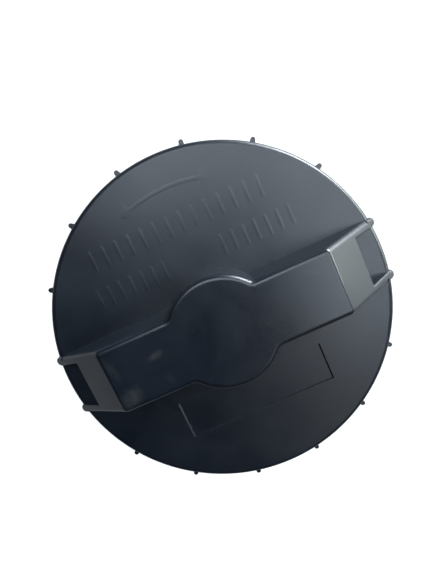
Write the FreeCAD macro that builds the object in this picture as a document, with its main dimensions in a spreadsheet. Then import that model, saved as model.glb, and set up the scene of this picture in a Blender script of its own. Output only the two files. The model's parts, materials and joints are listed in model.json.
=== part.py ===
"""Vented screw-in fuel cap with a ratcheting grip.

The frame's origin is the centre of the flat foot that the cap stands on, +Z is up through
the grip, and +X runs along the grip's bar. All sizes are in millimetres.
"""
import FreeCAD, Part
import math
import os
import re

import Sketcher
from FreeCAD import Placement, Rotation, Vector

# Driving sizes, grouped by the piece that they belong to.
SIZES = {
    # outer shell: disc and skirt
    "disc_radius": 41.4,
    "disc_thickness": 2.2,
    "skirt_depth": 18.0,
    "skirt_wall": 2.0,
    "skirt_flare": 0.25,
    "rim_round": 1.4,
    "plug_length": 30.0,
    # outer shell: ribs round the skirt
    "rib_pitch": 22.5,
    "rib_first_angle": 33.75,
    "rib_side_count": 6,
    "rib_height": 1.3,
    "rib_width": 1.15,
    "rib_root_blend": 0.55,
    "rib_sink": 0.05,
    "rib_top_gap": 0.2,
    "rib_end_gap": 0.8,
    # outer shell: the grip's bar, boss and legs
    "grip_height": 12.7,
    "bar_base_width": 15.6,
    "boss_base_radius": 12.5,
    "grip_draft": 0.4,
    "bar_top_length": 51.4,
    "slope_past_rim": 0.5,
    "slope_drop": 1.0,
    "grip_round": 1.2,
    "notch_length": 8.0,
    "notch_round": 0.4,
    "boss_blend": 1.6,
    "leg_post_radius": 1.1,
    "leg_round": 0.8,
    "grip_wall": 2.2,
    "core_end_gap": 0.5,
    # outer shell: blank field pressed into the disc
    "field_length": 37.4,
    "field_width": 9.6,
    "field_middle": 20.0,
    "field_depth": 0.4,
    "field_end_slope": 0.3,
    # outer shell: ratchet wall under the disc, its teeth and the webs to the skirt
    "wall_inner_radius": 27.5,
    "wall_thickness": 2.0,
    "bead_reach": 0.5,
    "bead_height": 0.9,
    "bead_lead": 0.3,
    "wall_end": 0.4,
    "tooth_count": 24,
    "tooth_height": 1.8,
    "tooth_bite": 0.5,
    "tooth_tip_share": 0.067,
    "tooth_back_share": 0.733,
    "web_count": 12,
    "web_thickness": 1.4,
    "web_depth": 8.0,
    "spigot_inner_radius": 15.4,
    "spigot_outer_radius": 17.3,
    "spigot_depth": 1.7,
    # keeper ring, which holds the closure up in the shell
    "keeper_width": 2.9,
    "keeper_thickness": 1.8,
    "keeper_play": 0.05,
    "keeper_notch_count": 6,
    "keeper_notch_width": 5.0,
    "keeper_notch_depth": 0.9,
    # closure: hub, flange, barrel and neck thread
    "running_gap": 0.3,
    "hub_radius": 19.5,
    "hub_height": 3.8,
    "hub_vent_width": 3.0,
    "hub_vent_depth": 1.0,
    "key_reach": 1.0,
    "key_width": 4.0,
    "key_height": 3.0,
    "flange_play": 0.5,
    "flange_thickness": 2.6,
    "pilot_radius": 18.6,
    "pilot_step": 0.2,
    "barrel_wall": 2.5,
    "barrel_length": 26.2,
    "barrel_bevel": 0.8,
    "pilot_length": 4.0,
    "thread_height": 2.2,
    "thread_pitch": 6.0,
    "thread_root_width": 3.0,
    "thread_crest_width": 1.2,
    "thread_gap": 3.0,
    "thread_bite": 0.3,
    # neck gasket
    "gasket_thickness": 3.0,
    "gasket_play": 0.1,
    "gasket_keeper_gap": 0.6,
    "gasket_round": 0.7,
    # ratchet pawl ring
    "pawl_ring_play": 0.1,
    "pawl_ring_radius": 21.8,
    "pawl_ring_height": 3.4,
    "pawl_count": 4,
    "pawl_play": 0.3,
    "pawl_thickness": 1.6,
    "pawl_heel_rise": 1.4,
    "pawl_inner_rise": 0.4,
    "pawl_heel_bite": 0.8,
    "pawl_inner_bite": 1.2,
    # washers between the hub and the disc
    "slip_washer_thickness": 0.8,
    "washer_width": 1.7,
    "washer_play": 0.1,
    "bowed_washer_thickness": 0.4,
    "bowed_washer_rise": 0.7,
    # valve housing
    "housing_play": 0.1,
    "housing_bore_radius": 13.4,
    "housing_flange_radius": 17.5,
    "housing_flange_thickness": 1.6,
    "housing_ledge_depth": 3.0,
    "housing_foot_radius": 15.4,
    "foot_thickness": 2.0,
    "lower_chamber_height": 11.5,
    "floor_thickness": 2.0,
    "seat_hole_radius": 7.6,
    "seat_lip_radius": 8.4,
    "seat_lip_width": 0.8,
    "seat_lip_height": 0.8,
    "seal_groove_depth": 1.2,
    "seal_groove_width": 1.8,
    "seal_groove_drop": 3.0,
    "seal_play": 0.03,
    # pressure valve
    "pressure_seal_inner_radius": 6.6,
    "pressure_seal_outer_radius": 10.6,
    "pressure_seal_thickness": 1.2,
    "plate_radius": 11.2,
    "plate_thickness": 1.6,
    "plate_rim_width": 0.8,
    "plate_rim_height": 1.4,
    "plate_lobe_count": 4,
    "plate_lobe_width": 4.0,
    "lobe_gap": 0.3,
    "window_count": 6,
    "window_radius": 0.75,
    "window_ring_radius": 3.95,
    "guide_radius": 2.4,
    "guide_height": 3.5,
    "pressure_spring_radius": 9.2,
    "pressure_spring_wire": 1.2,
    "pressure_spring_turns": 5.5,
    # vacuum valve
    "head_radius": 6.0,
    "head_thickness": 1.4,
    "stem_radius": 1.2,
    "stem_play": 0.08,
    "stem_end": 1.0,
    "vacuum_seal_inner_radius": 4.9,
    "vacuum_seal_outer_radius": 5.9,
    "vacuum_seal_thickness": 1.0,
    "vacuum_spring_radius": 2.85,
    "vacuum_spring_wire": 0.4,
    "vacuum_spring_length": 6.9,
    "vacuum_spring_turns": 6.0,
    "clip_radius": 4.2,
    "clip_thickness": 0.8,
    "clip_play": 0.02,
    # spring cap and the snap ring over it
    "cap_play": 0.1,
    "cap_thickness": 1.8,
    "cap_boss_radius": 8.2,
    "cap_boss_height": 1.2,
    "cap_vent_count": 6,
    "cap_vent_radius": 1.2,
    "cap_vent_ring_radius": 5.4,
    "snap_wire": 0.9,
    "snap_depth": 0.9,
    "snap_bite": 0.55,
    "snap_gap_angle": 24.0,
    # lower chamber: foot cover, filter screen and splash baffle
    "cover_wall": 1.4,
    "cover_wall_height": 6.5,
    "cover_bevel": 0.7,
    "slot_count": 8,
    "slot_inner_radius": 4.5,
    "slot_outer_radius": 11.0,
    "slot_width": 2.0,
    "screen_thickness": 0.6,
    "screen_hole_radius": 0.8,
    "screen_hole_step": 2.9,
    "screen_ring_count": 3,
    "baffle_wall": 1.0,
    "baffle_web_height": 1.6,
    "baffle_web_thickness": 1.0,
    "baffle_hole_count": 6,
    "baffle_hole_radius": 1.6,
    "baffle_hole_ring_radius": 9.0,
    "seat_play": 0.02,
}

# Heights and radii that follow from the driving sizes.
PLACES = {
    "disc_top": "plug_length + skirt_depth",
    "disc_under": "disc_top - disc_thickness",
    "disc_middle": "disc_top - disc_thickness / 2",
    "grip_top": "disc_top + grip_height",
    "slope_foot": "disc_top - slope_drop",
    "slope_reach": "disc_radius + slope_past_rim",
    "slope_run": "slope_reach - bar_top_length / 2",
    "slope_rate": "(grip_height + slope_drop) / slope_run",
    "notch_start": "slope_reach - notch_length",
    "notch_width": "bar_base_width - 4 * leg_post_radius",
    "bar_top_width": "bar_base_width - 2 * grip_draft",
    "boss_top_radius": "boss_base_radius - grip_draft",
    "leg_middle": "bar_base_width / 2 - leg_post_radius",
    "leg_reach": "slope_reach - leg_post_radius",
    "hub_top": "disc_under - washer_stack - running_gap",
    "washer_stack": "slip_washer_thickness + bowed_washer_thickness + bowed_washer_rise",
    "flange_top": "hub_top - hub_height",
    "flange_under": "flange_top - flange_thickness",
    "flange_radius": "wall_inner_radius - flange_play",
    "keeper_inner_radius": "wall_inner_radius - keeper_width",
    "gasket_outer_radius": "keeper_inner_radius - gasket_keeper_gap",
    "keeper_top": "flange_under - running_gap",
    "keeper_foot": "keeper_top - keeper_thickness",
    "bead_top": "keeper_foot - keeper_play",
    "bead_foot": "bead_top - bead_height",
    "wall_foot": "bead_foot - wall_end",
    "wall_outer_radius": "wall_inner_radius + wall_thickness",
    "tooth_tip_radius": "wall_inner_radius - tooth_height",
    "tooth_foot": "flange_top + running_gap",
    "skirt_foot_radius": "disc_radius + skirt_flare",
    "barrel_foot": "flange_under - barrel_length",
    "gasket_foot": "flange_under - gasket_thickness",
    "thread_start": "barrel_foot + pilot_length",
    "thread_rise": "gasket_foot - thread_gap - thread_start - thread_root_width",
    "housing_radius": "barrel_bore_radius - housing_play",
    "barrel_radius": "pilot_radius - pilot_step",
    "barrel_bore_radius": "pilot_radius - barrel_wall",
    "ledge": "hub_top - housing_ledge_depth",
    "housing_top": "ledge + housing_flange_thickness",
    "floor_under": "foot_thickness + lower_chamber_height",
    "floor_top": "floor_under + floor_thickness",
    "seat_top": "floor_top + seat_lip_height",
    "plate_under": "seat_top + pressure_seal_thickness",
    "plate_top": "plate_under + plate_thickness",
    "groove_middle": "ledge - seal_groove_drop",
    "snap_middle": "housing_top - snap_depth - snap_wire / 2",
    "cap_top": "snap_middle - snap_wire / 2",
    "cap_under": "cap_top - cap_thickness",
    "head_top": "plate_under - vacuum_seal_thickness",
    "head_under": "head_top - head_thickness",
    "clip_under": "plate_top + vacuum_spring_length",
    "clip_top": "clip_under + clip_thickness",
    "chamber_fit_radius": "housing_bore_radius - cap_play",
    "screen_foot": "foot_thickness + cover_wall_height",
    "screen_top": "screen_foot + screen_thickness",
    "baffle_web_foot": "screen_top + baffle_web_height",
    "tooth_angle": "360 / tooth_count",
}

# One ratchet tooth: radius, and angle in tooth pitches, from its steep face backwards.
TOOTH_CORNERS = [
    ("wall_inner_radius + tooth_bite", "0"),
    ("tooth_tip_radius", "0"),
    ("tooth_tip_radius", "-tooth_tip_share"),
    ("wall_inner_radius", "-tooth_back_share"),
    ("wall_inner_radius + tooth_bite", "-tooth_back_share"),
]
# One springy pawl: radius, and angle in tooth pitches, from its tip round to its root and back.
PAWL_CORNERS = [
    ("wall_inner_radius - pawl_play", 0.06),
    ("wall_inner_radius - pawl_play", 0.24),
    ("tooth_tip_radius - pawl_play", 0.97),
    ("pawl_ring_radius + pawl_heel_rise", 1.80),
    ("pawl_ring_radius - pawl_heel_bite", 2.67),
    ("pawl_ring_radius - pawl_inner_bite", 2.27),
    ("pawl_ring_radius + pawl_inner_rise", 1.47),
    ("tooth_tip_radius - pawl_play - pawl_thickness", 0.80),
    ("wall_inner_radius - pawl_play - pawl_thickness", 0.06),
]

# Lengths that differ by less than this count as the same.
SAME_LENGTH = 0.01

doc = FreeCAD.newDocument("fuel_cap")
sheet = doc.addObject("Spreadsheet::Sheet", "sizes")


def fill_sheet():
    """Write every driving size as a plain number with an alias."""
    for row, (alias, number) in enumerate(SIZES.items(), start=1):
        sheet.set(f"A{row}", alias)
        sheet.set(f"B{row}", str(number))
        sheet.setAlias(f"B{row}", alias)
    doc.recompute()


def bind(text):
    """Turn the plain names in an expression into references to the sheet."""
    def swap(match):
        word = match.group(0)
        if word in PLACES:
            return "(" + bind(PLACES[word]) + ")"
        return "sizes." + word if word in SIZES else word
    return re.sub(r"[a-z_]+", swap, str(text))


def value(text):
    """Work out an expression as a plain number."""
    return float(sheet.evalExpression(bind(text)))


def polar(radius, pitches):
    """Give the x and y of a point by its radius and its angle in tooth pitches."""
    angle = f"(tooth_angle * {pitches})"
    return f"({radius}) * cos{angle}", f"({radius}) * sin{angle}"


def new_body(label):
    body = doc.addObject("PartDesign::Body", label)
    body.Label = label
    return body


def origin_feature(body, role):
    return next(item for item in body.Origin.OriginFeatures if item.Role == role)


def new_sketch(body, name, plane="XZ_Plane", lift=None, turn=None):
    """Make a sketch on one of its body's origin planes, lifted and turned by expressions."""
    sketch = body.newObject("Sketcher::SketchObject", name)
    sketch.AttachmentSupport = [(origin_feature(body, plane), "")]
    sketch.MapMode = "FlatFace"
    if turn is not None:
        sketch.AttachmentOffset = Placement(Vector(), Rotation(Vector(0, 0, 1), value(turn)))
        sketch.setExpression("AttachmentOffset.Rotation.Angle", bind(turn))
    if lift is not None:
        sketch.setExpression("AttachmentOffset.Base.z", bind(lift))
    return sketch


def tie(sketch, ties):
    """Add constraints, each a kind, its places and an expression, bound to the sheet."""
    rules = [Sketcher.Constraint(kind, *places, value(text)) for kind, places, text in ties]
    first = sketch.ConstraintCount
    sketch.addConstraint(rules)
    for step, (kind, places, text) in enumerate(ties):
        name = f"size_{first + step}"
        sketch.renameConstraint(first + step, name)
        sketch.setExpression(f"Constraints.{name}", bind(text))


def arc(centre_x, x, y):
    """Describe an arc by its centre's x and a point that it passes through."""
    return centre_x, x, y


def draw_outline(sketch, corners):
    """Draw a closed outline whose corners follow the sheet.

    A corner is its x and y, and may hold an arc that leads on to the next corner.
    """
    first = sketch.GeometryCount
    spots = [Vector(value(corner[0]), value(corner[1]), 0) for corner in corners]
    count = len(spots)
    starts, ends, ties = [], [], []
    for step, corner in enumerate(corners):
        here, after = spots[step], spots[(step + 1) % count]
        if len(corner) == 2:
            sketch.addGeometry(Part.LineSegment(here, after))
            starts.append(1)
            ends.append(2)
            continue
        centre_x, x, y = corner[2]
        through = Vector(value(x), value(y), 0)
        forward = (through - here).cross(after - here).z > 0
        first_end, last_end = (here, after) if forward else (after, here)
        sketch.addGeometry(Part.Arc(first_end, through, last_end))
        starts.append(1 if forward else 2)
        ends.append(2 if forward else 1)
        ties.append(("DistanceX", (-1, 1, first + step, 3), centre_x))
    sketch.addConstraint([
        Sketcher.Constraint("Coincident", first + step, ends[step],
                            first + (step + 1) % count, starts[(step + 1) % count])
        for step in range(count)
    ])
    for step, corner in enumerate(corners):
        ties.append(("DistanceX", (-1, 1, first + step, starts[step]), corner[0]))
        ties.append(("DistanceY", (-1, 1, first + step, starts[step]), corner[1]))
    tie(sketch, ties)


def draw_circle(sketch, x, y, radius):
    """Draw a circle whose centre and radius follow the sheet."""
    centre = Vector(value(x), value(y), 0)
    index = sketch.addGeometry(Part.Circle(centre, Vector(0, 0, 1), value(radius)))
    tie(sketch, [
        ("DistanceX", (-1, 1, index, 3), x),
        ("DistanceY", (-1, 1, index, 3), y),
        ("Radius", (index,), radius),
    ])


def rectangle(x_low, x_high, y_low, y_high):
    return [(x_low, y_low), (x_high, y_low), (x_high, y_high), (x_low, y_high)]


def revolve(body, name, corners, angle=None):
    """Turn an outline of radius and height about the body's Z axis."""
    sketch = new_sketch(body, name + "_profile")
    draw_outline(sketch, corners)
    return revolve_sketch(body, name, sketch, angle)


def revolve_sketch(body, name, sketch, angle=None):
    turned = body.newObject("PartDesign::Revolution", name)
    turned.Profile = sketch
    turned.ReferenceAxis = (sketch, ["V_Axis"])
    turned.Angle = 360
    if angle is not None:
        turned.setExpression("Angle", bind(angle))
    return turned


def pad(body, name, sketch, length):
    raised = body.newObject("PartDesign::Pad", name)
    raised.Profile = sketch
    raised.Length = value(length)
    raised.setExpression("Length", bind(length))
    return raised


def pocket(body, name, sketch, length, up=True):
    """Cut a sketch into its body, upwards or downwards from the sketch's own plane."""
    sunk = body.newObject("PartDesign::Pocket", name)
    sunk.Profile = sketch
    sunk.Length = value(length)
    sunk.setExpression("Length", bind(length))
    sunk.Reversed = up
    return sunk


def polar_pattern(body, name, features, count, angle="360"):
    pattern = body.newObject("PartDesign::PolarPattern", name)
    pattern.Originals = features
    pattern.Axis = (origin_feature(body, "Z_Axis"), [""])
    pattern.setExpression("Angle", bind(angle))
    pattern.setExpression("Occurrences", bind(count))
    body.Tip = pattern
    return pattern


def edges_where(feature, test):
    """Name the edges of a feature's shape whose middle point and end points pass a test."""
    names = []
    for number, edge in enumerate(feature.Shape.Edges, start=1):
        middle = edge.valueAt((edge.FirstParameter + edge.LastParameter) / 2)
        if test([middle] + [vertex.Point for vertex in edge.Vertexes]):
            names.append(f"Edge{number}")
    return names


def soften(body, name, kind, feature, size, test):
    """Fillet or chamfer the edges of a feature whose points pass a test."""
    doc.recompute()
    dressed = body.newObject(f"PartDesign::{kind}", name)
    dressed.Base = (feature, edges_where(feature, test))
    dressed.setExpression("Radius" if kind == "Fillet" else "Size", bind(size))
    return dressed


def near(one, other):
    """Say whether two lengths count as the same."""
    return abs(one - other) < SAME_LENGTH


def at_ring(radius, height):
    """Make a test for points on a circle about the Z axis."""
    want_radius, want_height = value(radius), value(height)
    return lambda points: all(
        near(math.hypot(point.x, point.y), want_radius) and near(point.z, want_height)
        for point in points)


def coil(label, radius, wire, foot, length, turns):
    """Wind a round-wire compression spring about the Z axis."""
    body = new_body(label)
    sketch = new_sketch(body, label + "_wire")
    draw_circle(sketch, radius, f"{foot} + {wire} / 2", f"{wire} / 2")
    helix = body.newObject("PartDesign::AdditiveHelix", label + "_turns")
    helix.Profile = sketch
    helix.ReferenceAxis = (sketch, ["V_Axis"])
    helix.Mode = "height-turns-angle"
    helix.setExpression("Height", bind(f"{length} - {wire}"))
    helix.setExpression("Turns", bind(turns))
    return body


def round_ring(label, radius, height, section):
    """Make a rubber ring with a round section."""
    body = new_body(label)
    sketch = new_sketch(body, label + "_section")
    draw_circle(sketch, radius, height, section)
    revolve_sketch(body, label + "_ring", sketch)
    return body


def rib_corners(side):
    """Outline of a round-nosed rib, with hollow blends at its root, out along +X or -X."""
    root = f"{side}(disc_radius - skirt_wall / 2)"
    foot = f"{side}(disc_radius - rib_sink)"
    blend_end = f"{side}(disc_radius - rib_sink + rib_root_blend)"
    nose = f"{side}(disc_radius + rib_height - rib_width / 2)"
    half, wide = "rib_width / 2", "(rib_width / 2 + rib_root_blend)"
    reach = f"{side}(disc_radius - rib_sink + rib_root_blend * (1 - cos(45)))"
    spread = "(rib_width / 2 + rib_root_blend * (1 - sin(45)))"
    return [
        (root, wide),
        (foot, wide, arc(blend_end, reach, spread)),
        (blend_end, half),
        (nose, half, arc(nose, f"{side}(disc_radius + rib_height)", "0")),
        (nose, f"-{half}"),
        (blend_end, f"-{half}", arc(blend_end, reach, f"-{spread}")),
        (foot, f"-{wide}"),
        (root, f"-{wide}"),
    ]


def turned_shell():
    """Disc, skirt, ribs, ratchet wall, teeth and webs of the outer shell."""
    body = new_body("turned_shell")
    turned = revolve(body, "disc_and_skirt", [
        ("0", "disc_top"),
        ("disc_radius", "disc_top"),
        ("skirt_foot_radius", "plug_length"),
        ("skirt_foot_radius - skirt_wall", "plug_length"),
        ("disc_radius - skirt_wall", "disc_under"),
        ("wall_outer_radius", "disc_under"),
        ("wall_outer_radius", "wall_foot"),
        ("wall_inner_radius", "wall_foot"),
        ("wall_inner_radius - bead_reach", "bead_foot"),
        ("wall_inner_radius - bead_reach", "bead_top - bead_lead"),
        ("wall_inner_radius", "bead_top"),
        ("wall_inner_radius", "disc_under"),
        ("spigot_outer_radius", "disc_under"),
        ("spigot_outer_radius", "disc_under - spigot_depth"),
        ("spigot_inner_radius", "disc_under - spigot_depth"),
        ("spigot_inner_radius", "disc_under"),
        ("0", "disc_under"),
    ])
    soften(body, "rim_rounding", "Fillet", turned, "rim_round",
           at_ring("disc_radius", "disc_top"))

    web_sketch = new_sketch(body, "web_outline", "XY_Plane", lift="disc_under - web_depth")
    draw_outline(web_sketch, rectangle(
        "wall_outer_radius - wall_thickness / 2", "disc_radius - skirt_wall / 2",
        "-web_thickness / 2", "web_thickness / 2"))
    web = pad(body, "web", web_sketch, "web_depth + disc_thickness / 2")
    polar_pattern(body, "webs", [web], "web_count")

    rib_sketch = new_sketch(body, "rib_outline", "XY_Plane", "plug_length + rib_end_gap",
                            "rib_first_angle")
    for side in ("", "-"):
        draw_outline(rib_sketch, rib_corners(side))
    rib = pad(body, "rib", rib_sketch, "skirt_depth - rim_round - rib_top_gap - rib_end_gap")
    polar_pattern(body, "ribs", [rib], "rib_side_count", "rib_pitch * (rib_side_count - 1)")

    tooth_sketch = new_sketch(body, "tooth_outline", "XY_Plane", lift="tooth_foot")
    draw_outline(tooth_sketch, [polar(*corner) for corner in TOOTH_CORNERS])
    tooth = pad(body, "tooth", tooth_sketch, "disc_under - tooth_foot + disc_thickness / 4")
    polar_pattern(body, "teeth", [tooth], "tooth_count")

    field_sketch = new_sketch(body, "field_outline", "XY_Plane", lift="disc_top")
    draw_outline(field_sketch, rectangle(
        "-field_length / 2", "field_length / 2",
        "-field_middle - field_width / 2", "field_width / 2 - field_middle"))
    field = pocket(body, "blank_field", field_sketch, "field_depth", up=False)
    field_end, disc_level = value("field_length / 2"), value("disc_top")
    soften(body, "field_end_slopes", "Chamfer", field, "field_end_slope",
           lambda points: all(near(abs(point.x), field_end) and near(point.z, disc_level)
                              for point in points))
    return body


def slope_cut(body, name):
    """Cut both ends of a body down along the grip's slopes."""
    outline = new_sketch(body, name + "_outline")
    for end in ("", "-"):
        draw_outline(outline, [
            (f"{end}bar_top_length / 2", "grip_top"),
            (f"{end}slope_reach", "slope_foot"),
            (f"{end}(slope_reach + slope_run)", "slope_foot"),
            (f"{end}(slope_reach + slope_run)", "grip_top + grip_height"),
            (f"{end}bar_top_length / 2", "grip_top + grip_height"),
        ])
    cut = body.newObject("PartDesign::Pocket", name)
    cut.Profile = outline
    cut.Type = "ThroughAll"
    cut.SideType = "Symmetric"
    return cut


def notch_cut(body, name):
    """Cut the notch between the two legs out of each end of a body."""
    outline = new_sketch(body, name + "_outline", "XY_Plane", lift="plug_length")
    for end in ("", "-"):
        draw_outline(outline, rectangle(
            f"{end}notch_start", f"{end}(slope_reach + leg_post_radius)",
            "-notch_width / 2", "notch_width / 2"))
    return pocket(body, name, outline, "skirt_depth + grip_height")


def on_slope(point):
    """Say whether a point lies on one of the grip's two sloping planes."""
    fall = (abs(point.x) - value("bar_top_length / 2")) * value("slope_rate")
    return near(point.z, value("grip_top") - fall)


def grip_block():
    """Solid outside form of the bar, its boss, its sloping ends and their notches."""
    body = new_body("grip_block")
    base = new_sketch(body, "bar_base", "XY_Plane", lift="disc_middle")
    draw_outline(base, rectangle("-leg_reach", "leg_reach",
                                 "-bar_base_width / 2", "bar_base_width / 2"))
    top = new_sketch(body, "bar_top", "XY_Plane", lift="grip_top")
    draw_outline(top, rectangle("-leg_reach", "leg_reach",
                                "-bar_top_width / 2", "bar_top_width / 2"))
    bar = body.newObject("PartDesign::AdditiveLoft", "bar")
    bar.Profile = base
    bar.Sections = [top]
    bar.Ruled = True
    boss = revolve(body, "boss", [
        ("0", "disc_middle"),
        ("boss_base_radius", "disc_middle"),
        ("boss_top_radius", "grip_top"),
        ("0", "grip_top"),
    ])

    foot_level, disc_level = value("disc_middle"), value("disc_top")
    top_level, bar_end = value("grip_top"), value("leg_reach")
    boss_limit = value("boss_base_radius")

    def is_join(points):
        middle, *ends = points
        upright = near(abs(ends[0].z - ends[-1].z), top_level - foot_level)
        return upright and math.hypot(middle.x, middle.y) < boss_limit

    soften(body, "boss_blends", "Fillet", boss, "boss_blend", is_join)
    cut = slope_cut(body, "sloping_ends")

    def is_top_edge(points):
        on_form = [near(point.z, top_level) or on_slope(point) for point in points]
        at_end = near(abs(points[0].x), bar_end)
        return all(on_form) and points[0].z > disc_level and not at_end

    soften(body, "grip_rounding", "Fillet", cut, "grip_round", is_top_edge)
    notches = notch_cut(body, "notches")
    notch_start, notch_side = value("notch_start"), value("notch_width / 2")

    def is_notch_edge(points):
        return all(on_slope(point) and abs(point.x) > notch_start - SAME_LENGTH
                   and abs(point.y) < notch_side + SAME_LENGTH for point in points)

    soften(body, "notch_rounding", "Fillet", notches, "notch_round", is_notch_edge)
    return body


def grip_legs():
    """Four round-nosed posts that carry the bar's sides down over the rim and the skirt."""
    body = new_body("grip_legs")
    posts = new_sketch(body, "leg_posts", "XY_Plane", lift="plug_length")
    backs = new_sketch(body, "leg_backs", "XY_Plane", lift="plug_length")
    for end in ("", "-"):
        for side in ("", "-"):
            draw_circle(posts, f"{end}leg_reach", f"{side}leg_middle", "leg_post_radius")
            draw_outline(backs, rectangle(
                f"{end}(disc_radius - skirt_wall)", f"{end}leg_reach",
                f"{side}(leg_middle - leg_post_radius)", f"{side}(leg_middle + leg_post_radius)"))
    pad(body, "posts", posts, "skirt_depth + grip_height")
    pad(body, "post_backs", backs, "skirt_depth + grip_height")
    slope_cut(body, "leg_slopes")
    notches = notch_cut(body, "leg_notches")
    reach = value("leg_reach")
    soften(body, "leg_rounding", "Fillet", notches, "leg_round",
           lambda points: all(on_slope(point) and abs(point.x) > reach - SAME_LENGTH
                              for point in points))
    return body


def grip_core():
    """Hollow that the moulding core leaves under the bar and its boss."""
    body = new_body("grip_core")
    foot = "disc_under - spigot_depth - grip_wall"
    roof = "grip_top - grip_wall"
    core_end = "(tooth_tip_radius - core_end_gap)"
    side = new_sketch(body, "core_side")
    roof_end = "(bar_top_length / 2 - grip_wall / 2)"
    end_height = f"{roof} - ({core_end} - {roof_end}) * slope_rate"
    draw_outline(side, [
        (f"-{core_end}", foot),
        (core_end, foot),
        (core_end, end_height),
        (roof_end, roof),
        (f"-{roof_end}", roof),
        (f"-{core_end}", end_height),
    ])
    bar = body.newObject("PartDesign::Pad", "bar_core")
    bar.Profile = side
    bar.SideType = "Symmetric"
    bar.setExpression("Length", bind("bar_top_width - 2 * grip_wall"))
    revolve(body, "boss_core", [
        ("0", foot),
        ("boss_base_radius - grip_wall", foot),
        ("boss_top_radius - grip_wall", roof),
        ("0", roof),
    ])
    return body


def outer_shell():
    """One moulding: turned shell, grip and legs together, less the core."""
    grip = doc.addObject("Part::Fuse", "grip_form")
    grip.Base = grip_block()
    grip.Tool = grip_legs()
    solid = doc.addObject("Part::Fuse", "shell_solid")
    solid.Base = turned_shell()
    solid.Tool = grip
    shell = doc.addObject("Part::Cut", "outer_shell")
    shell.Base = solid
    shell.Tool = grip_core()
    return shell


def keeper_ring():
    """Ring snapped over the shell's bead, under the closure's flange."""
    body = new_body("keeper_ring")
    revolve(body, "keeper", [
        ("keeper_inner_radius", "keeper_foot"),
        ("wall_inner_radius - keeper_play", "keeper_foot"),
        ("wall_inner_radius - keeper_play", "keeper_top"),
        ("keeper_inner_radius", "keeper_top"),
    ])
    sketch = new_sketch(body, "keeper_notch", "XY_Plane", lift="keeper_foot")
    draw_outline(sketch, rectangle(
        "keeper_inner_radius - keeper_notch_depth", "keeper_inner_radius + keeper_notch_depth",
        "-keeper_notch_width / 2", "keeper_notch_width / 2"))
    notch = pocket(body, "notch", sketch, "keeper_thickness")
    polar_pattern(body, "keeper_notches", [notch], "keeper_notch_count")
    return body


def closure_body():
    """Hub, flange and threaded barrel that screw into the filler neck."""
    body = new_body("closure_body")
    turned = revolve(body, "closure", [
        ("barrel_bore_radius", "barrel_foot"),
        ("pilot_radius", "barrel_foot"),
        ("pilot_radius", "thread_start"),
        ("barrel_radius", "thread_start"),
        ("barrel_radius", "flange_under"),
        ("flange_radius", "flange_under"),
        ("flange_radius", "flange_top"),
        ("hub_radius", "flange_top"),
        ("hub_radius", "hub_top"),
        ("housing_flange_radius + housing_play", "hub_top"),
        ("housing_flange_radius + housing_play", "ledge"),
        ("barrel_bore_radius", "ledge"),
    ])
    soften(body, "barrel_lead", "Chamfer", turned, "barrel_bevel",
           at_ring("pilot_radius", "barrel_foot"))

    key_sketch = new_sketch(body, "key_outline", "XY_Plane", lift="flange_top")
    draw_outline(key_sketch, rectangle(
        "hub_radius - key_reach / 2", "hub_radius + key_reach", "-key_width / 2", "key_width / 2"))
    key = pad(body, "key", key_sketch, "key_height")
    polar_pattern(body, "keys", [key], "pawl_count")

    vent_sketch = new_sketch(body, "vent_outline", "XY_Plane", "hub_top - hub_vent_depth",
                             "180 / pawl_count")
    draw_outline(vent_sketch, rectangle(
        "housing_flange_radius - key_reach", "hub_radius + key_reach",
        "-hub_vent_width / 2", "hub_vent_width / 2"))
    vent = pocket(body, "vent", vent_sketch, "hub_vent_depth * 2")
    polar_pattern(body, "vents", [vent], "pawl_count")

    thread_sketch = new_sketch(body, "thread_profile")
    root = "barrel_radius - thread_bite"
    crest = "pilot_radius + thread_height"
    flank = "(thread_root_width - thread_crest_width) / 2"
    draw_outline(thread_sketch, [
        (root, "thread_start"),
        (crest, f"thread_start + {flank}"),
        (crest, f"thread_start + {flank} + thread_crest_width"),
        (root, "thread_start + thread_root_width"),
    ])
    thread = body.newObject("PartDesign::AdditiveHelix", "neck_thread")
    thread.Profile = thread_sketch
    thread.ReferenceAxis = (thread_sketch, ["V_Axis"])
    thread.Mode = "pitch-height-angle"
    thread.setExpression("Pitch", bind("thread_pitch"))
    thread.setExpression("Height", bind("thread_rise"))
    return body


def neck_gasket():
    """Rubber ring under the flange that seals on the filler neck's lip."""
    body = new_body("neck_gasket")
    turned = revolve(body, "gasket", [
        ("barrel_radius + gasket_play", "gasket_foot"),
        ("gasket_outer_radius", "gasket_foot"),
        ("gasket_outer_radius", "flange_under"),
        ("barrel_radius + gasket_play", "flange_under"),
    ])
    soften(body, "gasket_edge", "Fillet", turned, "gasket_round",
           at_ring("gasket_outer_radius", "gasket_foot"))
    return body


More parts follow.
